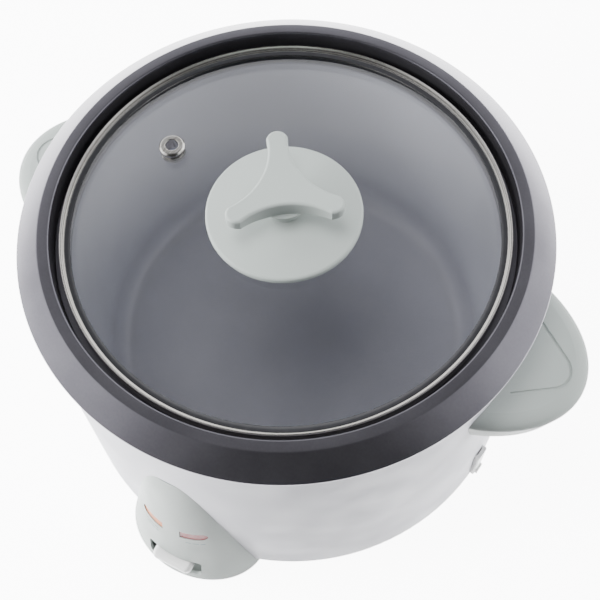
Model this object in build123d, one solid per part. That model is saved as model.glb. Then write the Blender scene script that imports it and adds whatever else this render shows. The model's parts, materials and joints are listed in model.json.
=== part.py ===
from build123d import *
from math import cos, radians, sin, sqrt
import os

# Electric rice cooker with a lift-out pan and a glass lid.
# Millimetres. +Z is up and the floor is z = 0. The origin lies on the cooker's axis, between its feet.
# The control panel faces -Y, the power inlet faces +Y, and the two handles point along +X and -X.

# ---- Driving dimensions ----

SHEET = 1.4                 # steel sheet of the casing and the base plate
FOOT_HEIGHT = 4.0           # gap between the floor and the casing
BODY_FOOT_RADIUS = 125.2    # casing outside, at the bottom
BODY_TOP_RADIUS = 123.0     # casing outside, under the pan's skirt
BODY_TOP = 155.5            # top edge of the casing
LIP_INNER_RADIUS = 116.0    # casing's inward bottom lip, which carries the base plate

PAN_WALL = 2.0
PAN_FLOOR = 38.0            # cooking surface
PAN_RADIUS = 102.0          # inside of the cooking pan
PAN_CORNER = 12.0
LEDGE = 151.7               # step that the lid rests on
COLLAR_RADIUS = 109.6       # inside of the collar around the lid
RIM_TOP = 164.6             # flat top of the pan's rim
RIM_FLAT_RADIUS = 115.1     # where the flat turns down into the skirt
SKIRT_RADIUS = 126.9
SKIRT_EDGE = 156.0

LINER_RADIUS = 112.8        # inside of the heat shield around the pan
LINER_FLOOR = 20.0
LINER_OPENING = 68.0        # hole in the floor, under the heating plate
PLATE_TOP = 35.8            # heating plate
PLATE_BOTTOM = 25.8
PLATE_RADIUS = 92.0
PLATE_HOLE = 17.5
ELEMENT_RADIUS = 62.0
ELEMENT_TUBE = 3.5
ELEMENT_ENDS = (78, 102)    # angles of its two ends

GLASS_RADIUS = 104.4
GLASS_EDGE_TOP = 156.6
GLASS_THICK = 3.6
GLASS_CROWN = 551.0         # radius of the glass dome
VENT_RADIUS = 68.0          # steam vent's distance from the axis
VENT_ANGLE = 170.9
GRIP_ANGLE = 3.1            # direction of one of the grip's three arms
KNOB_DISC_RADIUS = 36.6
GRIP_TOP = 189.5
GRIP_TIP = 25.0             # centre of each arm's round tip
GRIP_TIP_RADIUS = 4.8
GRIP_WAIST = 10.5           # nearest point of the hollow edge between two arms

HANDLE_CENTRE = 86.2        # centre of the handle's elliptical outline
HANDLE_REACH = 70.3
HANDLE_HALF_WIDTH = 47.7
HANDLE_HEIGHT = 127.0
HANDLE_DROOP = 4.9          # degrees
HANDLE_CROWN = 5.0          # rise of the top above the widest outline
HANDLE_EDGE = 13.0          # depth of the side wall below the widest outline

POD_TOP = 107.0             # control panel
POD_BOTTOM = 4.2
POD_HALF_WIDTH = 39.6       # at the bottom
POD_TOP_HALF_WIDTH = 18.0
POD_DEPTH = 20.4            # how far it stands out at the bottom
POD_HIDDEN = 10.0           # part of its depth that lies behind the casing's surface
POD_SHELL = 2.2
WINDOW_HEIGHT = 55.0
WINDOW_OFFSET = 12.0        # lamp windows, either side of the middle
WINDOW_LENGTH = 14.0
WINDOW_WIDTH = 6.8
SLOT_CENTRE = 16.9
SLOT_LENGTH = 32.0
SLOT_WIDTH = 14.6

LEVER_PIVOT_Y = -70.0
LEVER_PIVOT_Z = 12.0
PADDLE_Z = 19.0             # middle of the paddle at rest
PADDLE_WIDTH = 23.0
PADDLE_HEIGHT = 6.6

REAR_REACH = 145.0          # inlet and lever paddle reach equally far from the axis
INLET_BACK = 118.5          # inner end of the inlet
INLET_Z = 36.0

BASE_TOP = FOOT_HEIGHT + 2 * SHEET
SCREW = 2.0                 # M4 shank
PIN_RADIUS = 1.5

HOLDER_ANGLE = 81.0         # spatula holder, measured from the panel towards the right handle
HOLDER_Z = 27.0

SENSOR_TOP = 35.7
GUIDE_FLOOR = 17.2
MAGNET_BOTTOM = 17.4
ROD_BOTTOM = 9.8
ARM_TIP_Z = 8.9             # middle of the arm's tip, under the push rod
KNOB_NECK_Z = 172.5

FUSE_X = -40.0
BLOCK_X = 34.0              # terminal block
BLOCK_Y = 74.0
BLOCK_PITCH = 9.0

INLET_PINS = [(-8.0, 39.0), (8.0, 39.0), (0.0, 31.0)]   # live, neutral and earth, as (x, z)


# ---- Helpers ----

def turned(*outline, radii=0.0):
    """Solid of revolution about Z, from (radius, height) corners."""
    edge = FilletPolyline(*outline, radius=radii, close=True) if radii else Polyline(*outline, close=True)
    return revolve(Plane.XZ * make_face(edge), Axis.Z)


def post(x, y, bottom, top, radius):
    """Upright cylinder between two heights."""
    return Pos(x, y, (bottom + top) / 2) * Cylinder(radius, top - bottom)


def rod_y(x, z, start, end, radius):
    """Cylinder along Y."""
    return Pos(x, (start + end) / 2, z) * Rot(90, 0, 0) * Cylinder(radius, abs(end - start))


def rod_x(y, z, start, end, radius):
    """Cylinder along X."""
    return Pos((start + end) / 2, y, z) * Rot(0, 90, 0) * Cylinder(radius, abs(end - start))


def block(x, y, z):
    """Box between three pairs of limits."""
    size = [high - low for low, high in (x, y, z)]
    middle = [(high + low) / 2 for low, high in (x, y, z)]
    return Pos(*middle) * Box(*size)


def around(radius, angle):
    """Point at a radius and an angle from +X."""
    return radius * cos(radians(angle)), radius * sin(radians(angle))


def wire(radius, *route):
    """Insulated wire along a smooth route."""
    path = Spline(*route)
    section = Plane(origin=path @ 0, z_dir=path % 0) * Circle(radius)
    return sweep(section, path=path)


def coil(radius, wire_radius, bottom, top, turns):
    """Compression spring about Z."""
    path = Helix(pitch=(top - bottom) / turns, height=top - bottom, radius=radius)
    section = Plane(origin=path @ 0, z_dir=path % 0) * Circle(wire_radius)
    return Pos(0, 0, bottom) * sweep(section, path=path, is_frenet=True)


def inside_casing(offset, head_radius, height):
    """Distance from the axis at which a flat screw head clears the casing's curved inner face."""
    share = (height - FOOT_HEIGHT) / (BODY_TOP - FOOT_HEIGHT)
    radius = BODY_FOOT_RADIUS + (BODY_TOP_RADIUS - BODY_FOOT_RADIUS) * share - SHEET - 0.1
    return sqrt(radius ** 2 - (abs(offset) + head_radius) ** 2)


def group(solids):
    """Separate solids that share one node."""
    return Compound(children=[solid for shape in solids for solid in shape.solids()])


def export(name, shape):
    export_step(shape, f"parts/{name}.step")


# ---- Fixing points ----

FOOT_POINTS = [around(104.0, angle) for angle in (45, 135, 225, 315)]
POST_POINTS = [around(76.0, angle) for angle in (90, 210, 330)]
BASE_SCREW_POINTS = [around(118.0, angle) for angle in (0, 90, 180, 270)]
PANEL_SCREWS = [(-26.0, 32.0), (26.0, 32.0)]
HANDLE_SCREWS = [-26.0, 26.0]
HANDLE_SCREW_Z = 118.0
INLET_SCREWS = [-19.0, 19.0]


# ---- Casing ----

def body_volume():
    """Everything inside the casing's outer surface."""
    return turned(
        (0, FOOT_HEIGHT), (BODY_FOOT_RADIUS, FOOT_HEIGHT), (BODY_TOP_RADIUS, BODY_TOP), (0, BODY_TOP),
        radii=(0, 5.0, 0, 0),
    )


def make_outer_shell():
    shell = turned(
        (LIP_INNER_RADIUS, FOOT_HEIGHT),
        (BODY_FOOT_RADIUS, FOOT_HEIGHT),
        (BODY_TOP_RADIUS, BODY_TOP),
        (BODY_TOP_RADIUS - SHEET, BODY_TOP),
        (BODY_FOOT_RADIUS - SHEET, FOOT_HEIGHT + SHEET),
        (LIP_INNER_RADIUS, FOOT_HEIGHT + SHEET),
        radii=(0, 5.0, 0, 0, 5.0 - SHEET, 0),
    )
    shell -= block((-21, 21), (-130, -110), (11, WINDOW_HEIGHT + 12))
    shell -= block((-15, 15), (110, 130), (INLET_Z - 11, INLET_Z + 11))
    for x, y in BASE_SCREW_POINTS:
        shell -= post(x, y, 0, 10, 1.6)
    for x, z in PANEL_SCREWS:
        shell -= rod_y(x, z, -130, -110, 1.6)
    for x in INLET_SCREWS:
        shell -= rod_y(x, INLET_Z, 110, 130, 1.6)
    for y in HANDLE_SCREWS:
        shell -= rod_x(y, HANDLE_SCREW_Z, 100, 130, SCREW)
        shell -= rod_x(y, HANDLE_SCREW_Z, -130, -100, SCREW)
    return shell


def make_top_rim():
    """Ring that closes the gap between casing and heat shield, and carries the pan's rim."""
    return turned(
        (LINER_RADIUS - 0.2, 162.2), (113.9, 162.2), (BODY_TOP_RADIUS, 155.6), (BODY_TOP_RADIUS, BODY_TOP),
        (121.4, BODY_TOP), (121.4, 149.0), (119.6, 149.0), (119.6, 155.4), (113.6, 159.8),
        (LINER_RADIUS - 0.2, 159.8),
    )


def make_well_liner():
    wall = 0.8
    liner = turned(
        (LINER_OPENING, LINER_FLOOR), (LINER_RADIUS + wall, LINER_FLOOR), (LINER_RADIUS + wall, 159.8),
        (LINER_RADIUS, 159.8), (LINER_RADIUS, LINER_FLOOR + wall), (LINER_OPENING, LINER_FLOOR + wall),
        radii=(0, 6.0, 0, 0, 6.0 - wall, 0),
    )
    for x, y in POST_POINTS:
        liner -= post(x, y, 10, 30, 5.0)
    return liner


def make_base_plate():
    base = turned((0, FOOT_HEIGHT + SHEET), (119.9, FOOT_HEIGHT + SHEET), (119.9, BASE_TOP), (0, BASE_TOP))
    for x, y in FOOT_POINTS:
        base -= post(x, y, 0, 10, 3.0)
    for x, y in POST_POINTS:
        base -= post(x, y, 0, 10, SCREW)
    for x, y in BASE_SCREW_POINTS:
        base -= post(x, y, 0, 10, 1.6)
    vent = extrude(Plane.XY * SlotOverall(18, 3), 12)
    for angle in range(0, 360, 15):
        base -= Rot(0, 0, angle + 7.5) * Pos(92, 0, 0) * vent
    for angle in range(0, 360, 30):
        base -= Rot(0, 0, angle + 15) * Pos(46, 0, 0) * vent
    return base


def make_feet():
    feet = []
    for x, y in FOOT_POINTS:
        pad = turned((0, 0), (7.0, 0), (9.0, FOOT_HEIGHT + SHEET), (0, FOOT_HEIGHT + SHEET),
                     radii=(0, 1.0, 0, 0))
        pad += post(0, 0, FOOT_HEIGHT + SHEET, BASE_TOP, 3.0) + post(0, 0, BASE_TOP, BASE_TOP + 2.4, 4.4)
        feet.append(Pos(x, y, 0) * pad)
    return group(feet)


def screw_up(x, y, bottom, top, radius, head_radius, head=1.6):
    """Pan-head screw pointing up, with a cross recess in its head."""
    body = post(x, y, bottom, top, radius) + post(x, y, bottom - head, bottom, head_radius)
    for angle in (0, 90):
        body -= Pos(x, y, bottom - head) * Rot(0, 0, angle) * Box(head_radius, 0.7, 1.4)
    return body


def screw_out(base, length, radius, head_radius, head=2.0):
    """Screw along the local +Z of a plane, with its head behind the plane."""
    body = Pos(0, 0, length / 2) * Cylinder(radius, length)
    body += Pos(0, 0, -head / 2) * Cylinder(head_radius, head)
    for angle in (0, 90):
        body -= Pos(0, 0, -head) * Rot(0, 0, angle) * Box(head_radius, 0.7, 1.6)
    return base * body


# ---- Control panel ----

def pod_volume(inset=0.0):
    """Bell-shaped bulge on the front of the casing, bigger than what shows outside it."""
    sections = []
    for share in (0.0, 0.25, 0.5, 0.75, 1.0):
        z = POD_BOTTOM + inset + (POD_TOP - POD_BOTTOM - 2 * inset) * share
        half_width = POD_TOP_HALF_WIDTH + (POD_HALF_WIDTH - POD_TOP_HALF_WIDTH) * (1 - share) ** 1.15
        depth = POD_HIDDEN + POD_DEPTH * (1 - share)
        oval = Ellipse(half_width - inset, depth - inset)
        sections.append(Plane(origin=(0, POD_HIDDEN - BODY_TOP_RADIUS - 1.0, z)) * oval)
    return loft(sections)


def window_bar(side):
    """Cutter for a lamp window: blunt towards the middle, rounded at its outer end."""
    straight = WINDOW_LENGTH - WINDOW_WIDTH / 2
    bar = Pos(side * straight / 2, 0) * Rectangle(straight, WINDOW_WIDTH)
    bar += Pos(side * straight, 0) * Circle(WINDOW_WIDTH / 2)
    inner_end = side * (WINDOW_OFFSET - WINDOW_LENGTH / 2)
    front = Plane(origin=(inner_end, -120, WINDOW_HEIGHT), x_dir=(1, 0, 0), z_dir=(0, -1, 0))
    return extrude(front * bar, 40)


def slot_cutter(grow=0.0):
    face = RectangleRounded(SLOT_LENGTH + grow, SLOT_WIDTH + grow, 3.0)
    return extrude(Plane(origin=(0, -127, SLOT_CENTRE), x_dir=(1, 0, 0), z_dir=(0, -1, 0)) * face, 40)


def make_control_panel(casing):
    outer = pod_volume()
    panel = outer - pod_volume(POD_SHELL)
    for x, z in PANEL_SCREWS:
        panel += outer & rod_y(x, z, -145, -110, 3.6)
    panel -= casing
    for x, z in PANEL_SCREWS:
        panel -= rod_y(x, z, -128, -110, 1.4)
    for side in (-1, 1):
        panel -= window_bar(side)
    return panel - slot_cutter()


def make_panel_screws():
    screws = []
    for x, z in PANEL_SCREWS:
        base = Plane(origin=(x, -inside_casing(x, 2.8, z), z), x_dir=(1, 0, 0), z_dir=(0, -1, 0))
        screws.append(screw_out(base, 7.0, 1.4, 2.8, head=1.4))
    return group(screws)


def make_lens(side):
    """Window set slightly below the panel's surface."""
    return window_bar(side) & (pod_volume(0.5) - pod_volume(POD_SHELL + 1.0))


def make_lamp(side):
    """Neon bulb standing behind its window, with two lead wires."""
    x = side * WINDOW_OFFSET
    y = -125.2
    bulb = post(x, y, WINDOW_HEIGHT - 6, WINDOW_HEIGHT + 5, 2.4)
    bulb += Pos(x, y, WINDOW_HEIGHT + 5) * Sphere(2.4)
    for lead in (-1.0, 1.0):
        bulb += post(x + lead, y, WINDOW_HEIGHT - 12, WINDOW_HEIGHT - 6, 0.4)
    return bulb


def make_lamp_holder(casing_inner):
    """Plastic clip strip across the casing's opening."""
    strip = block((-24, 24), (-124, -119.4), (WINDOW_HEIGHT - 3, WINDOW_HEIGHT + 3))
    strip &= casing_inner
    strip += block((-18, 18), (-125.2, -119.4), (WINDOW_HEIGHT - 3, WINDOW_HEIGHT + 3))
    for side in (-1, 1):
        strip -= make_lamp(side)
    return strip


# ---- Handles ----

def make_handle(side, casing):
    """Ear-shaped carrying handle: a crowned shell, hollow underneath for the fingers."""
    droop = radians(HANDLE_DROOP)
    seat = Plane(
        origin=(HANDLE_CENTRE, 0, HANDLE_HEIGHT),
        x_dir=(cos(droop), 0, -sin(droop)),
        z_dir=(sin(droop), 0, cos(droop)),
    )
    handle = loft([
        seat.offset(-down) * Ellipse(HANDLE_REACH - inset, HANDLE_HALF_WIDTH - inset)
        for down, inset in ((HANDLE_EDGE, 2.0), (0.0, 0.0))
    ])
    crown = [(0.0, 0.0), (2.2, 0.8), (3.9, 3.0), (HANDLE_CROWN, 7.5)]
    handle += loft([
        seat.offset(up) * Ellipse(HANDLE_REACH - inset, HANDLE_HALF_WIDTH - inset) for up, inset in crown
    ])
    hollow = seat.offset(-HANDLE_EDGE - 1.0) * Ellipse(HANDLE_REACH - 5.5, HANDLE_HALF_WIDTH - 5.5)
    handle -= extrude(hollow, HANDLE_EDGE + 1.5)
    for y in HANDLE_SCREWS:
        handle += rod_x(y, HANDLE_SCREW_Z, 118, 136, 4.5)
    groove = FilletPolyline((126, 20.3), (155, 0), (126, -20.3), radius=10)
    groove_plane = seat.offset(HANDLE_CROWN)
    path = groove_plane * Pos(-HANDLE_CENTRE, 0, 0) * groove
    section = Plane(origin=path @ 0, z_dir=path % 0) * Circle(0.7)
    handle -= sweep(section, path=path)
    handle -= casing
    for y in HANDLE_SCREWS:
        handle -= rod_x(y, HANDLE_SCREW_Z, 110, 134, SCREW - 0.2)
    return handle if side > 0 else Rot(0, 0, 180) * handle


def make_handle_screws():
    screws = []
    for side in (0, 180):
        for y in HANDLE_SCREWS:
            inside = inside_casing(y, 3.4, HANDLE_SCREW_Z)
            base = Plane(origin=(inside, y, HANDLE_SCREW_Z), x_dir=(0, 1, 0), z_dir=(1, 0, 0))
            screws.append(Rot(0, 0, side) * screw_out(base, 14, SCREW - 0.2, 3.4, head=1.8))
    return group(screws)


# ---- Spatula holder ----

def make_spatula_holder(casing):
    """Slim clip on the right side for the rice paddle's handle, with a square tab at its foot."""
    width, depth, height = 8.0, 2.2, 27.0
    seat = Rot(0, 0, HOLDER_ANGLE) * Pos(0, -BODY_FOOT_RADIUS, HOLDER_Z)
    clip = Pos(0, 1.5 - depth / 2, 0) * Box(width, depth + 3.0, height)
    clip = fillet(clip.edges().filter_by(Axis.Z).group_by(Axis.Y)[0], 1.0)
    clip += Pos(0, 1.0 - depth / 2, 3.0 - height / 2) * Box(5.0, depth + 4.4, 5.0)
    clip -= Pos(0, 1.5 - depth / 2, 2.0) * Box(width - 3.0, 1.0, height)
    return seat * clip - casing


# ---- Heating plate ----

def make_heating_element():
    """Open ring of sealed heating tube, cast half into the plate, with its two ends turned down."""
    section = Plane.XZ * Pos(ELEMENT_RADIUS, PLATE_BOTTOM) * Circle(ELEMENT_TUBE)
    first, last = ELEMENT_ENDS
    ring = Rot(0, 0, last) * revolve(section, Axis.Z, 360 + first - last)
    for angle in ELEMENT_ENDS:
        x, y = around(ELEMENT_RADIUS, angle)
        ring += Pos(x, y, PLATE_BOTTOM) * Sphere(ELEMENT_TUBE)
        ring += post(x, y, 17.0, PLATE_BOTTOM, ELEMENT_TUBE)
    return ring


def make_heating_plate(element):
    plate = turned(
        (PLATE_HOLE, PLATE_BOTTOM), (PLATE_RADIUS, PLATE_BOTTOM), (PLATE_RADIUS, PLATE_TOP - 2.5),
        (PLATE_RADIUS - 4.0, PLATE_TOP), (PLATE_HOLE, PLATE_TOP),
    )
    for x, y in POST_POINTS:
        plate -= post(x, y, 20, PLATE_BOTTOM + 6.0, SCREW)
    return plate - element


def make_element_terminals():
    """Ceramic bush and steel tab on each end of the element."""
    terminals = []
    for angle in ELEMENT_ENDS:
        x, y = around(ELEMENT_RADIUS, angle)
        bush = post(x, y, 14.5, 17.0, 2.8)
        bush += block((x - 2.4, x + 2.4), (y - 0.4, y + 0.4), (9.4, 14.5))
        terminals.append(bush)
    return group(terminals)


def make_plate_posts():
    """Three spacers between the base plate and the heating plate."""
    return group([
        post(x, y, BASE_TOP, PLATE_BOTTOM, 5.0) - post(x, y, 0, 30, SCREW) for x, y in POST_POINTS
    ])


# ---- Magnetic thermostat ----

def make_sensor_cap():
    """Aluminium cup that the pan's bottom presses on."""
    return turned(
        (0, SENSOR_TOP), (16.6, SENSOR_TOP), (16.6, 23.6), (15.4, 23.6), (15.4, SENSOR_TOP - 1.2),
        (0, SENSOR_TOP - 1.2), radii=(0, 1.0, 0, 0, 0, 0),
    )


def make_sensor_ferrite():
    return turned((0, 31.0), (13.0, 31.0), (13.0, SENSOR_TOP - 1.2), (0, SENSOR_TOP - 1.2))


def make_sensor_guide():
    """Steel cage under the heating plate, with three legs that carry the spring seat."""
    ring = turned((PLATE_HOLE, PLATE_BOTTOM - 2.0), (22.0, PLATE_BOTTOM - 2.0), (22.0, PLATE_BOTTOM),
                  (PLATE_HOLE, PLATE_BOTTOM))
    seat = turned((4.0, GUIDE_FLOOR - 0.9), (19.0, GUIDE_FLOOR - 0.9), (19.0, GUIDE_FLOOR),
                  (4.0, GUIDE_FLOOR))
    legs = turned((18.0, GUIDE_FLOOR - 0.9), (19.0, GUIDE_FLOOR - 0.9), (19.0, PLATE_BOTTOM),
                  (18.0, PLATE_BOTTOM))
    for angle in (30, 150, 270):
        legs -= Rot(0, 0, angle) * block((10, 24), (-11, 11), (10, PLATE_BOTTOM - 2.0))
    return ring + legs + seat


def make_magnet():
    """Disc magnet on its push rod."""
    return turned((2.5, MAGNET_BOTTOM), (12.0, MAGNET_BOTTOM), (12.0, MAGNET_BOTTOM + 5.4),
                  (2.5, MAGNET_BOTTOM + 5.4), radii=(0, 0.8, 0.8, 0))


def make_push_rod():
    rod = post(0, 0, ROD_BOTTOM, MAGNET_BOTTOM + 5.4, 2.5)
    return rod - Pos(0, 0, ROD_BOTTOM) * turned((1.5, 0), (2.6, 0), (2.6, 1.1))


# ---- Cook lever and switch ----

def make_lever_paddle():
    """White paddle in the panel's slot."""
    paddle = block(
        (-PADDLE_WIDTH / 2, PADDLE_WIDTH / 2), (-REAR_REACH, -127.0),
        (PADDLE_Z - PADDLE_HEIGHT / 2, PADDLE_Z + PADDLE_HEIGHT / 2),
    )
    paddle = fillet(paddle.edges().filter_by(Axis.Z).group_by(Axis.Y)[0], 3.0)
    paddle = fillet(paddle.faces().sort_by(Axis.Y)[0].edges().filter_by(Axis.X), 2.4)
    return paddle - block((-5.1, 5.1), (-134.8, -120), (PADDLE_Z - 0.75, PADDLE_Z + 0.75))


def make_lever_arm():
    """Bent steel strip: paddle at the front, pivot eye in the middle, push pad under the rod."""
    thick = 1.5
    line = Polyline(
        (-134.0, PADDLE_Z), (-119.0, PADDLE_Z), (-108.0, LEVER_PIVOT_Z + 2.0),
        (LEVER_PIVOT_Y, LEVER_PIVOT_Z + 2.0), (LEVER_PIVOT_Y + 14.0, ARM_TIP_Z), (6.0, ARM_TIP_Z),
    )
    strip = make_face(offset(line, thick / 2, kind=Kind.INTERSECTION, side=Side.BOTH))
    arm = extrude(Plane.YZ * strip, 5.0, both=True)
    eye = rod_x(LEVER_PIVOT_Y, LEVER_PIVOT_Z, -5.0, 5.0, 3.2)
    return arm + eye - rod_x(LEVER_PIVOT_Y, LEVER_PIVOT_Z, -6.0, 6.0, PIN_RADIUS + 0.1)


def make_switch_bracket():
    """Steel cradle on the base plate: two ears for the lever's pin and a shelf for the switch."""
    floor = block((-11, 26), (LEVER_PIVOT_Y - 12, LEVER_PIVOT_Y + 10), (BASE_TOP, BASE_TOP + 1.0))
    floor -= block((-6, 6), (LEVER_PIVOT_Y - 20, LEVER_PIVOT_Y + 20), (0, 30))
    bracket = floor + block((-11, 11), (LEVER_PIVOT_Y - 12, LEVER_PIVOT_Y - 9), (BASE_TOP, BASE_TOP + 1.0))
    for side in (-1, 1):
        ear = block((side * 8 - 0.6, side * 8 + 0.6), (LEVER_PIVOT_Y - 6, LEVER_PIVOT_Y + 6),
                    (BASE_TOP, 14.0))
        ear += rod_x(LEVER_PIVOT_Y, 14.0, side * 8 - 0.6, side * 8 + 0.6, 6.0) & block(
            (-20, 20), (-90, -50), (BASE_TOP, 17.5))
        bracket += ear
    return bracket - rod_x(LEVER_PIVOT_Y, LEVER_PIVOT_Z, -20, 20, PIN_RADIUS)


def make_lever_pin():
    pin = rod_x(LEVER_PIVOT_Y, LEVER_PIVOT_Z, -9.6, 9.6, PIN_RADIUS)
    for side in (-1, 1):
        pin += rod_x(LEVER_PIVOT_Y, LEVER_PIVOT_Z, side * 8.6, side * 10.2, PIN_RADIUS + 0.9)
    return pin


def make_micro_switch():
    """Snap switch with a spring leaf and three tabs."""
    y = LEVER_PIVOT_Y
    case = block((12.0, 18.5), (y - 11, y + 9), (BASE_TOP + 1.0, BASE_TOP + 8.4))
    case += block((14.0, 16.5), (y - 6, y - 3.5), (BASE_TOP + 8.4, BASE_TOP + 9.4))
    for step in (-8.0, 0.0, 6.0):
        case += block((18.5, 23.0), (y + step - 1.5, y + step + 1.5), (BASE_TOP + 3.6, BASE_TOP + 4.2))
    for step in (-8.5, 6.5):
        case -= rod_x(y + step, BASE_TOP + 3.0, 10, 20, 1.1)
    return case


# ---- Power inlet ----

def make_power_inlet(casing):
    """Oval socket shroud for the detachable supply cord."""
    frame = Plane(origin=(0, REAR_REACH, INLET_Z), x_dir=(1, 0, 0), z_dir=(0, -1, 0))
    inlet = extrude(frame * RectangleRounded(50, 38, 12), 27) - casing
    inlet += extrude(frame.offset(19) * RectangleRounded(28, 20, 3), REAR_REACH - 19 - INLET_BACK)
    inlet -= extrude(frame * RectangleRounded(42, 30, 9), 17)
    for x in INLET_SCREWS:
        inlet -= rod_y(x, INLET_Z, 110, 126.4, 1.4)
    for x, z in INLET_PINS:
        inlet -= rod_y(x, z, 110, REAR_REACH, 2.0)
    return inlet


def make_inlet_pins():
    pins = []
    for x, z in INLET_PINS:
        pin = rod_y(x, z, INLET_BACK, REAR_REACH - 4.0, 2.0)
        pin += Pos(x, REAR_REACH - 4.0, z) * Sphere(2.0)
        pins.append(pin + block((x - 2.2, x + 2.2), (INLET_BACK - 3.8, INLET_BACK), (z - 0.4, z + 0.4)))
    return group(pins)


def make_inlet_screws():
    screws = []
    for x in INLET_SCREWS:
        inside = inside_casing(x, 2.6, INLET_Z)
        base = Plane(origin=(x, inside, INLET_Z), x_dir=(1, 0, 0), z_dir=(0, 1, 0))
        screws.append(screw_out(base, 4.0, 1.4, 2.6, head=1.4))
    return group(screws)


# ---- Cooking pan ----

def make_cooking_pan():
    """Deep-drawn aluminium pan: flat floor, lid ledge, collar, flat rim and sloping skirt."""
    slope_x, slope_z = 0.589 * PAN_WALL, 0.808 * PAN_WALL
    wall = PAN_RADIUS + PAN_WALL
    collar = COLLAR_RADIUS + PAN_WALL
    return turned(
        (0, PAN_FLOOR - PAN_WALL),
        (wall, PAN_FLOOR - PAN_WALL),
        (wall, LEDGE - PAN_WALL),
        (collar, LEDGE - PAN_WALL),
        (collar, RIM_TOP - PAN_WALL),
        (RIM_FLAT_RADIUS - 0.7, RIM_TOP - PAN_WALL),
        (SKIRT_RADIUS - slope_x, SKIRT_EDGE - slope_z),
        (SKIRT_RADIUS, SKIRT_EDGE),
        (RIM_FLAT_RADIUS, RIM_TOP),
        (COLLAR_RADIUS, RIM_TOP),
        (COLLAR_RADIUS, LEDGE),
        (PAN_RADIUS, LEDGE),
        (PAN_RADIUS, PAN_FLOOR),
        (0, PAN_FLOOR),
        radii=(0, PAN_CORNER + PAN_WALL, 1.5, 2.5, 0, 0, 0.8, 0.8, 1.2, 1.0, 0.8, 1.5, PAN_CORNER, 0),
    )


# ---- Lid ----

def glass_top(radius):
    """Height of the glass dome's upper surface."""
    return GLASS_EDGE_TOP + (GLASS_RADIUS ** 2 - radius ** 2) / (2 * GLASS_CROWN)


VENT_POINT = around(VENT_RADIUS, VENT_ANGLE)


def make_lid_glass():
    crown = glass_top(0)
    glass = Pos(0, 0, crown - GLASS_CROWN) * (Sphere(GLASS_CROWN) - Sphere(GLASS_CROWN - GLASS_THICK))
    glass &= post(0, 0, GLASS_EDGE_TOP - 10, crown + 1, GLASS_RADIUS)
    return glass - post(0, 0, 140, 180, 4.2) - post(*VENT_POINT, 140, 180, 4.6)


def make_lid_rim(glass):
    """Stainless channel rolled around the glass."""
    top, bottom = GLASS_EDGE_TOP + 1.1, GLASS_EDGE_TOP - GLASS_THICK - 0.8
    rim = turned(
        (102.6, bottom), (106.4, bottom), (106.4, top), (102.6, top), radii=(0.3, 0.7, 1.0, 0.3),
    )
    return rim - turned(
        (90.0, glass_top(90) - GLASS_THICK), (GLASS_RADIUS, GLASS_EDGE_TOP - GLASS_THICK - 0.05),
        (GLASS_RADIUS, GLASS_EDGE_TOP), (90.0, glass_top(90) + 0.05),
    ) - glass


def make_steam_vent(glass):
    """Riveted steel eyelet."""
    x, y = VENT_POINT
    seat = glass_top(VENT_RADIUS)
    eyelet = turned(
        (3.2, -GLASS_THICK - 1.2), (6.0, -GLASS_THICK - 1.2),
        (6.0, -GLASS_THICK + 0.6), (4.6, -GLASS_THICK + 0.6),
        (4.6, -0.6), (6.4, -0.6), (6.4, 1.6), (5.4, 2.6), (3.2, 2.6),
        radii=(0.2, 0.4, 0, 0, 0, 0.3, 0.6, 0.6, 0.4),
    )
    return Pos(x, y, seat) * eyelet - glass


def make_knob_base(glass):
    """Domed disc between the glass and the grip."""
    edge = glass_top(KNOB_DISC_RADIUS)
    disc = turned(
        (0, edge - 1.0), (KNOB_DISC_RADIUS, edge - 1.0), (KNOB_DISC_RADIUS, edge + 2.6),
        (21.0, edge + 5.6), (9.0, KNOB_NECK_Z), (0, KNOB_NECK_Z), radii=(0, 0, 1.6, 20.0, 3.0, 0),
    )
    return disc - glass - post(0, 0, 140, KNOB_NECK_Z + 1, 2.6)


def make_knob_grip():
    """Three-armed grip on a flared stem."""
    across = GRIP_TIP * cos(radians(60))
    up = GRIP_TIP * sin(radians(60))
    # The hollow edge is an arc that is tangent to both arm tips and passes the waist.
    inner = GRIP_TIP_RADIUS - GRIP_WAIST
    distance = (across ** 2 + up ** 2 - inner ** 2) / (2 * (across + inner))
    tips = [Rot(0, 0, angle) * Pos(GRIP_TIP, 0) * Circle(GRIP_TIP_RADIUS) for angle in (0, 120, 240)]
    outline = make_hull([edge for tip in tips for edge in tip.edges()])
    for angle in (60, 180, 300):
        outline -= Rot(0, 0, angle) * Pos(distance, 0) * Circle(distance - GRIP_WAIST)
    arms = extrude(Pos(0, 0, GRIP_TOP - 12) * outline, 12)
    arms &= turned((0, GRIP_TOP - 9), (12.0, GRIP_TOP - 8.5), (31.0, GRIP_TOP - 5.0), (31.0, GRIP_TOP),
                   (0, GRIP_TOP))
    arms = fillet(arms.faces().sort_by(Axis.Z)[-1].edges(), 1.4)
    stem = turned((0, KNOB_NECK_Z), (9.4, KNOB_NECK_Z), (11.0, GRIP_TOP - 12.0), (13.0, GRIP_TOP - 8.0),
                  (0, GRIP_TOP - 8.0), radii=(0, 1.0, 4.0, 0, 0))
    grip = Rot(0, 0, GRIP_ANGLE) * (arms + stem)
    return grip - post(0, 0, KNOB_NECK_Z - 1, KNOB_NECK_Z + 8, 2.0)


def make_knob_washer(glass):
    under = glass_top(0) - GLASS_THICK
    return turned((2.6, under - 1.6), (11.0, under - 1.6), (11.0, under + 0.4), (2.6, under + 0.4),
                  radii=(0, 0.6, 0, 0)) - glass


def make_knob_screw():
    under = glass_top(0) - GLASS_THICK - 1.6
    return screw_up(0, 0, under, KNOB_NECK_Z + 7, SCREW, 6.0, head=2.2)


# ---- Wiring and small electrical pieces ----

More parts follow.
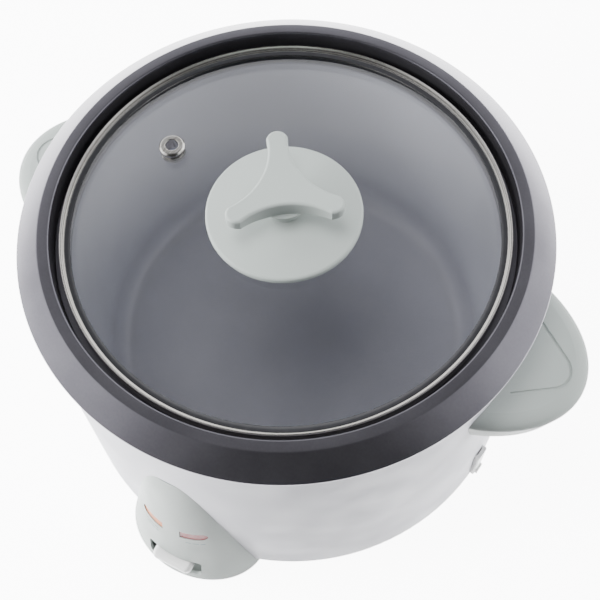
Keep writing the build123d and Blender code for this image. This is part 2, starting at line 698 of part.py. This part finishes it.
def make_terminal_block():
    """Ceramic block on the base plate where the wires join."""
    x, y, z = BLOCK_X, BLOCK_Y, BASE_TOP
    ceramic = block((x - 14, x + 14), (y - 7, y + 7), (z, z + 8.5))
    for step in (-BLOCK_PITCH, 0.0, BLOCK_PITCH):
        ceramic -= post(x + step, y, z + 3.5, z + 10, 2.4)
        ceramic -= rod_y(x + step, z + 3.5, y - 10, y + 10, 1.5)
    return ceramic


def make_terminal_screws():
    x, y, z = BLOCK_X, BLOCK_Y, BASE_TOP
    screws = []
    for step in (-BLOCK_PITCH, 0.0, BLOCK_PITCH):
        screw = post(x + step, y, z + 5.0, z + 7.6, 2.4)
        screws.append(screw - Pos(x + step, y, z + 7.6) * Box(4.6, 0.7, 1.4))
    return group(screws)


def make_thermal_fuse():
    """Fuse capsule in its sleeve, clipped under the heating plate."""
    x, z = FUSE_X, PLATE_BOTTOM - 3.0
    fuse = rod_y(x, z, -10, 10, 2.2)
    fuse += rod_y(x, z, -14, -10, 0.7) + rod_y(x, z, 10, 14, 0.7)
    return fuse + block((x - 3.0, x + 3.0), (-4, 4), (z + 1.4, PLATE_BOTTOM))


def make_warm_thermostat():
    """Bimetal button that cycles the keep-warm heat."""
    x = 40.0
    body = post(x, 0, PLATE_BOTTOM - 4.6, PLATE_BOTTOM, 6.5)
    for step in (-1, 1):
        tab = (step * 6 - 1.0, step * 6 + 1.0)
        body += block((x - 2, x + 2), tab, (PLATE_BOTTOM - 7.0, PLATE_BOTTOM - 4.6))
    return body


def make_wires():
    """Insulated wires in the casing's foot, keyed by node name."""
    (live_x, live_z), (neutral_x, neutral_z), (earth_x, earth_z) = INLET_PINS
    tab_y = INLET_BACK - 2.2
    right, left = (around(ELEMENT_RADIUS, angle) for angle in ELEMENT_ENDS)
    fuse_z = PLATE_BOTTOM - 3.0
    joint_z = BASE_TOP + 3.5
    first_joint = BLOCK_X - BLOCK_PITCH
    switch_y = LEVER_PIVOT_Y
    routes = {
        "wire_live": [
            (live_x, tab_y, live_z - 0.4), (live_x, tab_y, 25), (-16, 106, 12.5),
            (-38, 72, 11), (-46, 42, 14),
            (FUSE_X - 1, 20, fuse_z - 0.8), (FUSE_X, 14.2, fuse_z),
        ],
        "wire_neutral": [
            (neutral_x, tab_y, neutral_z - 0.4), (neutral_x, tab_y, 25), (14, 106, 12.5),
            (first_joint - 2, 92, joint_z + 0.6), (first_joint, 84, joint_z), (first_joint, 78, joint_z),
        ],
        "wire_earth": [
            (earth_x, tab_y, earth_z - 0.4), (earth_x, tab_y, 24), (-1, 106, 12.5),
            (-1, 94, 11.5), (0, 82.3, 12),
        ],
        "wire_fuse": [
            (FUSE_X, -14.2, fuse_z), (-36, -22, 20), (-29, -14, 15.5), (-29, 14, 12.5), (-20, 42, 11.5),
            (left[0], left[1] - 6, 12), (left[0], left[1] - 0.4, 12),
        ],
        "wire_element": [
            (first_joint, 70, joint_z), (first_joint, 63, joint_z), (20, 54, 11),
            (right[0], right[1] - 5, 12), (right[0], right[1] - 0.4, 12),
        ],
        "wire_switch": [
            (BLOCK_X, 70, joint_z), (BLOCK_X + 2, 60, joint_z), (52, 12, 11), (44, -36, 10.8),
            (31, switch_y + 4, 10.7), (23, switch_y, 10.7),
        ],
        "wire_lamps": [
            (23, switch_y - 8, 10.7), (31, -86, 11), (26, -108, 13), (18, -116.5, 20),
            (12, -118.4, 38), (5, -117.0, WINDOW_HEIGHT - 5), (3, -119.0, WINDOW_HEIGHT),
        ],
    }
    return {name: wire(1.3, *route) for name, route in routes.items()}


# ---- Build ----

def main():
    os.makedirs("parts", exist_ok=True)
    casing = body_volume()
    shell = make_outer_shell()
    casing_inner = casing - shell
    element = make_heating_element()
    glass = make_lid_glass()

    export("outer_shell", shell)
    export("top_rim", make_top_rim())
    export("well_liner", make_well_liner())
    export("base_plate", make_base_plate())
    export("feet", make_feet())
    export("base_screws", group([
        screw_up(x, y, FOOT_HEIGHT, 11.0, 1.6, 2.6) for x, y in BASE_SCREW_POINTS
    ]))
    inlet = make_power_inlet(casing)
    inlet_pins = make_inlet_pins()
    lamp_holder = make_lamp_holder(casing_inner)
    micro_switch = make_micro_switch()
    terminal_block = make_terminal_block()
    element_terminals = make_element_terminals()
    terminals = [inlet, inlet_pins, lamp_holder, micro_switch, terminal_block, element_terminals]

    export("control_panel", make_control_panel(casing))
    export("panel_screws", make_panel_screws())
    for side, name in ((-1, "warm"), (1, "cook")):
        export(f"{name}_lens", make_lens(side))
        export(f"{name}_lamp", make_lamp(side))
    export("lamp_holder", lamp_holder)
    export("handle_right", make_handle(1, casing))
    export("handle_left", make_handle(-1, casing))
    export("handle_screws", make_handle_screws())
    export("spatula_holder", make_spatula_holder(casing))
    export("heating_element", element)
    export("heating_plate", make_heating_plate(element))
    export("element_terminals", element_terminals)
    export("plate_posts", make_plate_posts())
    export("plate_screws", group([
        screw_up(x, y, FOOT_HEIGHT + SHEET, PLATE_BOTTOM + 6.0, SCREW, 3.6) for x, y in POST_POINTS
    ]))
    export("sensor_cap", make_sensor_cap())
    export("sensor_ferrite", make_sensor_ferrite())
    export("sensor_guide", make_sensor_guide())
    export("sensor_spring", coil(16.2, 0.6, GUIDE_FLOOR + 0.6, 23.0, 3.5))
    export("magnet", make_magnet())
    export("push_rod", make_push_rod())
    export("lever_paddle", make_lever_paddle())
    export("lever_arm", make_lever_arm())
    export("switch_bracket", make_switch_bracket())
    export("lever_pin", make_lever_pin())
    export("micro_switch", micro_switch)
    export("power_inlet", inlet)
    export("inlet_pins", inlet_pins)
    export("inlet_screws", make_inlet_screws())
    export("terminal_block", terminal_block)
    export("terminal_screws", make_terminal_screws())
    export("thermal_fuse", make_thermal_fuse())
    export("warm_thermostat", make_warm_thermostat())
    for name, shape in make_wires().items():
        export(name, shape - terminals)
    export("cooking_pan", make_cooking_pan())
    export("lid_glass", glass)
    export("lid_rim", make_lid_rim(glass))
    export("steam_vent", make_steam_vent(glass))
    export("knob_base", make_knob_base(glass))
    export("knob_grip", make_knob_grip())
    export("knob_washer", make_knob_washer(glass))
    export("knob_screw", make_knob_screw())


main()
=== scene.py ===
import json
from math import cos, pi, radians, sin, tan

import bmesh
import bpy
from mathutils import Matrix, Vector


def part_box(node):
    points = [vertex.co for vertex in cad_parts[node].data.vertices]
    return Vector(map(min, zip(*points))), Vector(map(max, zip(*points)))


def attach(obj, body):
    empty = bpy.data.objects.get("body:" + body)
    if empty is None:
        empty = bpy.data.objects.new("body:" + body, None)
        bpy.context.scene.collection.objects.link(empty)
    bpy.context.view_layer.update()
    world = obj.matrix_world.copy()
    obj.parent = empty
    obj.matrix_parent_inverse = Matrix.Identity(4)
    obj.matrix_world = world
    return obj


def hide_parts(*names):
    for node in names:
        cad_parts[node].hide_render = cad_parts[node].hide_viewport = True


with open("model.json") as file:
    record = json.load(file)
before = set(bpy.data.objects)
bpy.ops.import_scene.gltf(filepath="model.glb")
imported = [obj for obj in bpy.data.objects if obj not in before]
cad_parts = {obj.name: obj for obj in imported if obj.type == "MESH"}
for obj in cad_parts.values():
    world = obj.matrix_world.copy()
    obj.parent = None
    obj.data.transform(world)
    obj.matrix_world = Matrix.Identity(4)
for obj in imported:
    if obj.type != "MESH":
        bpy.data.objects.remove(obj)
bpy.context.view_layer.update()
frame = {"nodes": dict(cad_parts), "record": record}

# Shared dimensions, in metres, the same as the CAD model's.
PAN_BASE = 0.036
PAN_FLOOR = 0.038
LEDGE = 0.1517              # step in the pan that carries the lid
RIM_TOP = 0.1646
GLASS_RADIUS = 0.1044
GLASS_EDGE_TOP = 0.1566
GLASS_CROWN = 0.551         # radius of the dome's curve
GLASS_THICK = 0.0036
RING_RADIUS = 0.1064
SCREW_HOLE = 0.0042
EYELET_HOLE = 0.0047

# Shared dimensions of the visual model only.
LIP_RISE = 0.0028           # steel lip over the glass's edge
SEAL_OUTER = 0.1041
SEAL_INNER = 0.1012
SEGMENTS = 288
TOWARDS_VIEWER = (0.518, -0.855, 0.0)


# ---- Materials ----

class Graph:
    """A material's node tree with short ways to add and join nodes."""

    def __init__(self, name):
        self.material = bpy.data.materials.new(name)
        self.material.use_nodes = True
        self.tree = self.material.node_tree
        self.shader = self.tree.nodes["Principled BSDF"]
        self.place = self.add("ShaderNodeTexCoord").outputs["Object"]

    def add(self, kind, inputs=(), **settings):
        node = self.tree.nodes.new(kind)
        for key, value in settings.items():
            setattr(node, key, value)
        for key, value in dict(inputs).items():
            if isinstance(value, bpy.types.NodeSocket):
                self.tree.links.new(value, node.inputs[key])
            else:
                node.inputs[key].default_value = value
        return node

    def stretched(self, scale):
        return self.add("ShaderNodeMapping", {"Vector": self.place, "Scale": scale}).outputs[0]

    def noise(self, scale, detail=3.0, place=None):
        inputs = {"Vector": place or self.place, "Scale": scale, "Detail": detail}
        return self.add("ShaderNodeTexNoise", inputs).outputs["Fac"]

    def ramp(self, value, low, high, start=0.3, end=0.7):
        inputs = {"Value": value, "From Min": start, "From Max": end, "To Min": low, "To Max": high}
        return self.add("ShaderNodeMapRange", inputs).outputs[0]

    def blend(self, factor, first, second):
        node = self.add("ShaderNodeMix", data_type="RGBA")
        for socket, value in ((node.inputs[0], factor), (node.inputs[6], first), (node.inputs[7], second)):
            if isinstance(value, bpy.types.NodeSocket):
                self.tree.links.new(value, socket)
            else:
                socket.default_value = value
        return node.outputs[2]

    def bump(self, height, strength, distance):
        inputs = {"Height": height, "Strength": strength, "Distance": distance}
        self.set(Normal=self.add("ShaderNodeBump", inputs).outputs[0])

    def set(self, **sockets):
        for key, value in sockets.items():
            socket = self.shader.inputs[key.replace("_", " ")]
            if isinstance(value, bpy.types.NodeSocket):
                self.tree.links.new(value, socket)
            else:
                socket.default_value = value


def shade(color, factor):
    return (*[min(1.0, channel * factor) for channel in color], 1.0)


def surface(name, color, rough, vary=0.05, patch=25.0, grain=700.0, depth=0.00003, strength=0.3, **sockets):
    """General surface: blotchy colour, uneven gloss and a fine grain."""
    g = Graph(name)
    blotch = g.ramp(g.noise(patch), 0.0, 1.0)
    fine = g.noise(grain, 2.0)
    g.set(Base_Color=g.blend(blotch, shade(color, 1 - vary), shade(color, 1 + vary)))
    g.set(Roughness=g.ramp(g.noise(patch * 4), rough * 0.88, rough * 1.12))
    g.bump(fine, strength, depth)
    g.set(**sockets)
    return g.material


def make_nonstick():
    """Dark pearlescent metallic coating; below the ledge it is painted lighter and less metallic, as painted
    light for the lit inside of the pan, and the floor is painted darker than the walls as painted shade.
    """
    g = Graph("nonstick_coating")
    cloud = g.ramp(g.noise(38.0), 0.0, 1.0)
    flakes = g.noise(900.0, 0.0)
    tone = g.ramp(g.blend(0.35, cloud, flakes), 0.0, 1.0, 0.2, 0.8)
    dark = g.blend(tone, (0.135, 0.130, 0.147, 1), (0.160, 0.155, 0.174, 1))
    # Painted light: this lighter tone of the same coating stands in for the light that falls into the pan
    # below the ledge.
    lit_inside_paint = g.blend(tone, (0.63, 0.645, 0.72, 1), (0.69, 0.705, 0.78, 1))
    height = g.add("ShaderNodeSeparateXYZ", {0: g.place}).outputs["Z"]
    inside = g.ramp(height, 1.0, 0.0, LEDGE - 0.0027, LEDGE - 0.0002)
    # Painted shade: the floor of the pan is painted darker than the lit walls above it.
    floor = g.ramp(height, 1.0, 0.0, PAN_FLOOR + 0.0002, PAN_FLOOR + 0.024)
    lit_inside_paint = g.blend(floor, lit_inside_paint, g.blend(tone, (0.52, 0.52, 0.585, 1), (0.56, 0.56, 0.625, 1)))
    g.set(Base_Color=g.blend(inside, dark, lit_inside_paint))
    g.set(Metallic=g.ramp(inside, 0.9, 0.3, 0.0, 1.0))
    g.set(Roughness=g.ramp(g.noise(38.0), 0.28, 0.31))
    return g.material


def make_lid_steel(name, sealed=False):
    """Rolled stainless steel with faint bands around the axis; sealed adds the ring's rubber seal."""
    g = Graph(name)
    xyz = g.add("ShaderNodeSeparateXYZ", {0: g.place})
    flat = g.add("ShaderNodeVectorMath", {0: g.place, 1: (1, 1, 0)}, operation="MULTIPLY").outputs[0]
    radius = g.add("ShaderNodeVectorMath", {0: flat}, operation="LENGTH").outputs["Value"]
    place = g.add("ShaderNodeCombineXYZ", {0: radius, 2: xyz.outputs["Z"]}).outputs[0]
    band = g.noise(2400.0, 2.0, place)
    steel = g.blend(g.ramp(band, 0.0, 1.0), (0.40, 0.37, 0.32, 1), (0.92, 0.91, 0.88, 1))
    g.set(Base_Color=steel, Metallic=1.0)
    if sealed:
        outside = g.ramp(radius, 0.0, 1.0, SEAL_OUTER - 0.0001, SEAL_OUTER)
        rubber = g.blend(g.noise(240.0), (0.016, 0.016, 0.018, 1), (0.028, 0.028, 0.031, 1))
        g.set(Base_Color=g.blend(outside, rubber, steel), Metallic=outside)
    g.set(Roughness=g.ramp(g.noise(300.0), 0.13, 0.2))
    g.bump(g.noise(900.0), 0.1, 0.00001)
    return g.material


def make_glass():
    """Toughened glass in one thin sheet: mostly clear, glossy, with a faint haze of wipe marks."""
    g = Graph("toughened_glass")
    wipes = g.noise(60.0, 4.0, g.stretched((1.0, 6.0, 1.0)))
    g.set(Base_Color=g.blend(g.ramp(wipes, 0.0, 1.0), (0.010, 0.011, 0.012, 1), (0.022, 0.023, 0.026, 1)))
    g.set(Roughness=g.ramp(wipes, 0.02, 0.05), Alpha=0.28, IOR=3.2)
    return g.material


def make_brushed(name, color, rough):
    """Sheet metal with rolling streaks along X and dull patches."""
    g = Graph(name)
    streak = g.noise(90.0, 5.0, g.stretched((1.0, 14.0, 14.0)))
    g.set(Base_Color=g.blend(g.ramp(streak, 0.0, 1.0), shade(color, 0.85), shade(color, 1.1)))
    g.set(Metallic=1.0, Roughness=g.ramp(g.noise(45.0), rough * 0.85, rough * 1.2))
    g.bump(streak, 0.15, 0.00004)
    return g.material


PLASTIC = (0.36, 0.395, 0.378)
MATERIALS = {
    "casing_white": surface("white_enamel", (0.58, 0.58, 0.625), 0.5, 0.012, 14.0, 320.0, 0.00004, 0.12,
                            Specular_IOR_Level=0.12),
    "trim_black": surface("black_trim", (0.02, 0.02, 0.022), 0.5),
    "liner_aluminium": make_brushed("liner_aluminium", (0.72, 0.72, 0.73), 0.34),
    "galvanised_steel": make_brushed("galvanised_steel", (0.5, 0.51, 0.52), 0.42),
    "foot_rubber": surface("foot_rubber", (0.025, 0.025, 0.026), 0.75, 0.2, 60.0, 500.0),
    "fastener_steel": make_brushed("fastener_steel", (0.62, 0.61, 0.58), 0.3),
    "plastic_grey_green": surface("grey_green_plastic", PLASTIC, 0.5, 0.02, 20.0, 1400.0, 0.00003, 0.35,
                                  Specular_IOR_Level=0.12),
    "plastic_white": surface("white_plastic", (0.8, 0.8, 0.79), 0.4, 0.015, 25.0, 1400.0, 0.00003, 0.3,
                             Specular_IOR_Level=0.25),
    "lens_amber": surface("amber_lens", (0.42, 0.10, 0.010), 0.45, 0.25, 160.0, 900.0,
                          Specular_IOR_Level=0.2),
    "lens_red": surface("red_lens", (0.13, 0.003, 0.006), 0.45, 0.3, 160.0, 900.0, Specular_IOR_Level=0.2),
    "lamp_glass": surface("lamp_glass", (0.9, 0.75, 0.6), 0.1, Transmission_Weight=0.8),
    "inner_plastic": surface("inner_plastic", (0.72, 0.7, 0.65), 0.5),
    "element_steel": make_brushed("element_steel", (0.24, 0.22, 0.21), 0.45),
    "plate_aluminium": make_brushed("plate_aluminium", (0.7, 0.7, 0.71), 0.38),
    "terminal_brass": make_brushed("terminal_brass", (0.72, 0.58, 0.32), 0.3),
    "ferrite_dark": surface("ferrite_dark", (0.06, 0.06, 0.065), 0.55, 0.2, 200.0),
    "inlet_black": surface("inlet_black", (0.022, 0.022, 0.024), 0.55, 0.1, 60.0, 1200.0,
                           Specular_IOR_Level=0.2),
    "wire_brown": surface("wire_brown", (0.16, 0.07, 0.035), 0.55),
    "wire_blue": surface("wire_blue", (0.05, 0.12, 0.36), 0.55),
    "wire_green": surface("wire_green", (0.12, 0.32, 0.06), 0.55),
    "wire_white": surface("wire_white", (0.7, 0.7, 0.67), 0.55),
    "pan_coating": make_nonstick(),
    "lid_glass": make_glass(),
    "lid_steel": make_lid_steel("lid_steel"),
}
INK = surface("panel_ink", (0.16, 0.22, 0.22), 0.6, 0.1, 300.0)


def clothe(piece, material):
    piece.data.materials.clear()
    piece.data.materials.append(material)


for part in frame["record"]["subparts"]:
    clothe(frame["nodes"][part["node"]], MATERIALS[part["material_slot"]])


# ---- Mesh helpers ----

def rounded(*corners):
    """Outline through (r, z, radius) corners, with an arc at each corner that has a radius."""
    points = []
    count = len(corners)
    for i, (x, y, radius) in enumerate(corners):
        here = Vector((x, y))
        if not radius:
            points.append(here)
            continue
        before = (Vector(corners[i - 1][:2]) - here).normalized()
        after = (Vector(corners[(i + 1) % count][:2]) - here).normalized()
        half = before.angle(after) / 2
        centre = here + (before + after).normalized() * radius / sin(half)
        start = here + before * radius / tan(half) - centre
        end = here + after * radius / tan(half) - centre
        sweep = start.angle_signed(end)
        steps = max(3, int(abs(sweep) / radians(9)))
        for k in range(steps + 1):
            turn = -sweep * k / steps
            points.append(centre + Vector((start.x * cos(turn) - start.y * sin(turn),
                                           start.x * sin(turn) + start.y * cos(turn))))
    return points


def add_piece(name, bm, body, slot, *nodes):
    """Turns bm into a piece that rides body and stands for the CAD nodes."""
    mesh = bpy.data.meshes.new(name)
    bmesh.ops.recalc_face_normals(bm, faces=bm.faces)
    bm.to_mesh(mesh)
    bm.free()
    mesh.shade_smooth()
    piece = bpy.data.objects.new(name, mesh)
    bpy.context.scene.collection.objects.link(piece)
    clothe(piece, MATERIALS[slot])
    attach(piece, body)
    if nodes:
        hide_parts(*nodes)
    return piece


def lathe(outline, segments=SEGMENTS):
    """Closed ring or solid of revolution about Z; points on the axis become poles."""
    bm = bmesh.new()
    turns = [2 * pi * k / segments for k in range(segments)]
    rings = []
    for point in outline:
        if point.x < 1e-6:
            rings.append([bm.verts.new((0, 0, point.y))] * segments)
            continue
        rings.append([bm.verts.new((point.x * cos(turn), point.x * sin(turn), point.y)) for turn in turns])
    for i, ring in enumerate(rings):
        after = rings[(i + 1) % len(rings)]
        for k in range(segments):
            corners = [ring[k], ring[(k + 1) % segments], after[(k + 1) % segments], after[k]]
            distinct = list(dict.fromkeys(corners))
            if len(distinct) > 2:
                bm.faces.new(distinct)
    return bm


def glass_top(radius):
    return GLASS_EDGE_TOP + (GLASS_RADIUS ** 2 - radius ** 2) / (2 * GLASS_CROWN)


# ---- Cooking pan ----

def make_pan():
    """Pan in one turned shell: well, collar with its ledge, flat rim and sloping skirt."""
    outline = rounded(
        (0, PAN_BASE, 0),
        (0.104, PAN_BASE, 0.014),
        (0.104, LEDGE - 0.002, 0.0015),
        (0.1116, LEDGE - 0.002, 0.0025),
        (0.1116, RIM_TOP - 0.002, 0),
        (0.1144, RIM_TOP - 0.002, 0),
        (0.12572, 0.154384, 0.0007),
        (0.1269, 0.156, 0.0007),
        (0.1151, RIM_TOP, 0.0012),
        (0.1096, RIM_TOP, 0.001),
        (0.1096, LEDGE, 0.0008),
        (0.102, LEDGE, 0.0015),
        (0.102, PAN_FLOOR, 0.012),
        (0, PAN_FLOOR, 0),
    )
    return add_piece("pan", lathe(outline), "pan", "pan_coating", "cooking_pan")


make_pan()


# ---- Lid ----

def cut(piece, cutter):
    """Takes the cutter's volume out of the piece and removes the cutter."""
    modifier = piece.modifiers.new("cut", "BOOLEAN")
    modifier.object = cutter
    modifier.operation = "DIFFERENCE"
    modifier.solver = "EXACT"
    bpy.context.view_layer.update()
    result = bpy.data.meshes.new_from_object(piece.evaluated_get(bpy.context.evaluated_depsgraph_get()))
    piece.modifiers.clear()
    piece.data = result
    bpy.data.objects.remove(cutter)


def make_cutter(bm):
    """Turns bm into a loose object for cut."""
    mesh = bpy.data.meshes.new("cutter")
    bmesh.ops.recalc_face_normals(bm, faces=bm.faces)
    bm.to_mesh(mesh)
    bm.free()
    cutter = bpy.data.objects.new("cutter", mesh)
    bpy.context.scene.collection.objects.link(cutter)
    return cutter


def post(x, y, bottom, top, radius):
    """Upright round cutter."""
    bm = bmesh.new()
    place = Matrix.Translation((x, y, (bottom + top) / 2))
    bmesh.ops.create_cone(bm, cap_ends=True, segments=64, radius1=radius, radius2=radius,
                          depth=top - bottom, matrix=place)
    return make_cutter(bm)


def make_glass_dome():
    """Domed glass with holes for the knob's screw and the steam eyelet, and exact dome normals."""
    edge = GLASS_RADIUS + 0.0003
    steps = 24
    top = [Vector((edge * k / steps, glass_top(edge * k / steps))) for k in range(steps + 1)]
    bottom = [Vector((p.x, p.y - GLASS_THICK)) for p in reversed(top)]
    dome = add_piece("glass_dome", lathe(top + bottom, 192), "lid", "lid_glass", "lid_glass")
    (x0, y0, _), (x1, y1, _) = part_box("steam_vent")
    cut(dome, post((x0 + x1) / 2, (y0 + y1) / 2, 0.14, 0.18, EYELET_HOLE))
    cut(dome, post(0, 0, 0.14, 0.18, SCREW_HOLE))
    centre = Vector((0, 0, glass_top(0) - GLASS_CROWN))
    normals = []
    for face in dome.data.polygons:
        for index in face.loop_indices:
            point = dome.data.vertices[dome.data.loops[index].vertex_index].co
            lift = Vector((0, 0, GLASS_THICK if face.normal.z < 0 else 0))
            dome_normal = (point + lift - centre).normalized() * (1 if face.normal.z > 0 else -1)
            normals.append(dome_normal if abs(face.normal.z) > 0.9 else face.normal.copy())
    dome.data.normals_split_custom_set(normals)
    return dome


def make_lid_ring():
    """Steel channel rolled over the glass, beaded towards a dark seal that lies on the glass."""
    top = GLASS_EDGE_TOP + LIP_RISE
    glass_bottom = GLASS_EDGE_TOP - GLASS_THICK - 0.0001
    bottom = GLASS_EDGE_TOP - GLASS_THICK - 0.0008
    outline = rounded(
        (0.1029, bottom, 0.0002),
        (RING_RADIUS, bottom, 0.0006),
        (RING_RADIUS, top, 0.0007),
        (0.1056, top, 0.0004),
        (0.1052, top - 0.0008, 0.0001),
        (0.1047, top - 0.0010, 0.0001),
        (0.1046, top - 0.0016, 0.0001),
        (0.1042, top - 0.0018, 0.0001),
        (SEAL_OUTER, glass_top(SEAL_OUTER) + 0.0003, 0.0001),
        (SEAL_INNER + 0.0001, glass_top(SEAL_INNER + 0.0001) + 0.00025, 0),
        (SEAL_INNER, glass_top(SEAL_INNER) + 0.00003, 0),
        (0.1030, glass_top(0.1030) + 0.00003, 0),
        (0.1048, glass_top(0.1048) + 0.00003, 0),
        (0.1049, glass_bottom, 0),
        (0.1029, glass_bottom, 0),
    )
    ring = add_piece("lid_ring", lathe(outline), "lid", "lid_steel", "lid_rim")
    clothe(ring, make_lid_steel("sealed_steel", sealed=True))


make_glass_dome()
make_lid_ring()


# ---- Control panel marks ----

def ink_dash(bm, panel, start, height, length):
    """One dash, 1 mm tall, along X from start at the given height."""
    steps = 6
    pairs = []
    for k in range(steps + 1):
        x = start + length * k / steps
        pairs.append([])
        for z in (height - 0.0005, height + 0.0005):
            _, place, normal, _ = panel.ray_cast((x, -0.2, z), (0, 1, 0))
            pairs[-1].append(bm.verts.new(place + normal * 0.00004))
    for before, after in zip(pairs, pairs[1:]):
        bm.faces.new((before[0], after[0], after[1], before[1]))


def make_ink_marks():
    """Printed ink dashes under the two lamp windows, laid on the panel's curved face."""
    panel = frame["nodes"]["control_panel"]
    bm = bmesh.new()
    rows = (
        (-0.0175, 0.0478, (0.0022, 0.0034, 0.0026)),
        (-0.0168, 0.0448, (0.0030, 0.0024, 0.0018)),
        (0.0082, 0.0478, (0.0028, 0.0032, 0.0024)),
    )
    for start, height, lengths in rows:
        for length in lengths:
            ink_dash(bm, panel, start, height, length)
            start += length + 0.0007
    marks = add_piece("panel_marks", bm, "housing", "plastic_grey_green")
    clothe(marks, INK)


make_ink_marks()


# ---- Stage ----

def area_light(name, place, target, size, energy):
    """Soft box at place, turned to target, that no surface mirrors."""
    light = bpy.data.lights.new(name, "AREA")
    light.shape = "RECTANGLE"
    light.size = light.size_y = size
    light.energy = energy
    lamp = bpy.data.objects.new(name, light)
    bpy.context.scene.collection.objects.link(lamp)
    lamp.location = place
    lamp.rotation_euler = (Vector(target) - Vector(place)).to_track_quat("-Z", "Y").to_euler()
    lamp.visible_glossy = False


def make_floor_paper():
    """White paper lit from below, dimmer in front of the object, where the camera doesn't look."""
    g = Graph("floor_paper")
    g.set(Base_Color=g.blend(g.noise(3.0), (0.88, 0.88, 0.89, 1), (0.9, 0.9, 0.91, 1)), Roughness=0.9)
    axis = g.add("ShaderNodeVectorMath", {0: g.place, 1: TOWARDS_VIEWER}, operation="DOT_PRODUCT")
    g.set(Emission_Color=(1, 1, 1, 1), Emission_Strength=g.ramp(axis.outputs["Value"], 9.0, 0.4, 0.17, 0.40))
    g.bump(g.noise(900.0), 0.1, 0.0001)
    return g.material


def make_stage():
    """Floor in the shared frame's ground plane; it gives the object no diffuse light."""
    mesh = bpy.data.meshes.new("floor")
    half = 6.0
    corners = [(-half, -half, 0), (half, -half, 0), (half, half, 0), (-half, half, 0)]
    mesh.from_pydata(corners, [], [(0, 1, 2, 3)])
    floor = bpy.data.objects.new("floor", mesh)
    bpy.context.scene.collection.objects.link(floor)
    floor.visible_diffuse = False
    clothe(floor, make_floor_paper())


def make_world():
    """Studio surroundings: bright walls low down at the back and sides, dark overhead and in front."""
    world = bpy.data.worlds.new("studio")
    bpy.context.scene.world = world
    world.use_nodes = True
    tree = world.node_tree

    def ramp(value, *stops):
        node = tree.nodes.new("ShaderNodeValToRGB")
        tree.links.new(value, node.inputs[0])
        elements = node.color_ramp.elements
        elements[0].position, elements[1].position = stops[0][0], stops[-1][0]
        for position, _ in stops[1:-1]:
            elements.new(position)
        for element, (_, level) in zip(elements, stops):
            element.color = (level * 0.98, level * 0.985, level, 1)
        return node.outputs[0]

    place = tree.nodes.new("ShaderNodeTexCoord").outputs["Generated"]
    split = tree.nodes.new("ShaderNodeSeparateXYZ")
    tree.links.new(place, split.inputs[0])
    towards_viewer = tree.nodes.new("ShaderNodeVectorMath")
    towards_viewer.operation = "DOT_PRODUCT"
    towards_viewer.inputs[1].default_value = TOWARDS_VIEWER
    tree.links.new(place, towards_viewer.inputs[0])
    height = ramp(split.outputs["Z"], (0.0, 1.0), (0.45, 0.95), (0.66, 0.7), (0.8, 0.2), (0.9, 0.12),
                  (1.0, 0.08))
    front = ramp(towards_viewer.outputs["Value"], (0.2, 1.0), (0.5, 0.45), (0.68, 0.03))
    product = tree.nodes.new("ShaderNodeMix")
    product.data_type = "RGBA"
    product.blend_type = "MULTIPLY"
    product.inputs[0].default_value = 1.0
    tree.links.new(height, product.inputs[6])
    tree.links.new(front, product.inputs[7])
    background = tree.nodes["Background"]
    tree.links.new(product.outputs[2], background.inputs["Color"])
    background.inputs["Strength"].default_value = 2.4


# The camera stands to the front right, looks steeply down and is rolled a little.
CAMERA_PLACE = (0.1283, -0.2119, 0.5591)
CAMERA_TURN = radians(30.03)      # about Z, away from straight in front
CAMERA_TILT = radians(27.18)      # away from straight down
CAMERA_ROLL = radians(-3.16)


def make_camera():
    camera = bpy.data.objects.new("camera", bpy.data.cameras.new("camera"))
    bpy.context.scene.collection.objects.link(camera)
    camera.data.lens = 60.0
    camera.data.sensor_width = 36.0
    camera.data.clip_start = 0.01
    camera.data.clip_end = 50.0
    turn = Matrix.Rotation(CAMERA_TURN, 4, "Z") @ Matrix.Rotation(CAMERA_TILT, 4, "X")
    camera.matrix_world = Matrix.Translation(CAMERA_PLACE) @ turn @ Matrix.Rotation(CAMERA_ROLL, 4, "Z")
    bpy.context.scene.camera = camera


make_stage()
make_world()
area_light("left_box", (-1.05, -0.68, 0.5), (0, 0, 0.08), 0.8, 50.0)
area_light("right_box", (1.05, 0.6, 0.45), (0, 0, 0.08), 0.8, 16.0)
area_light("top_box", (-0.2, -0.1, 1.6), (0, 0, 0.1), 0.7, 18.0)
make_camera()
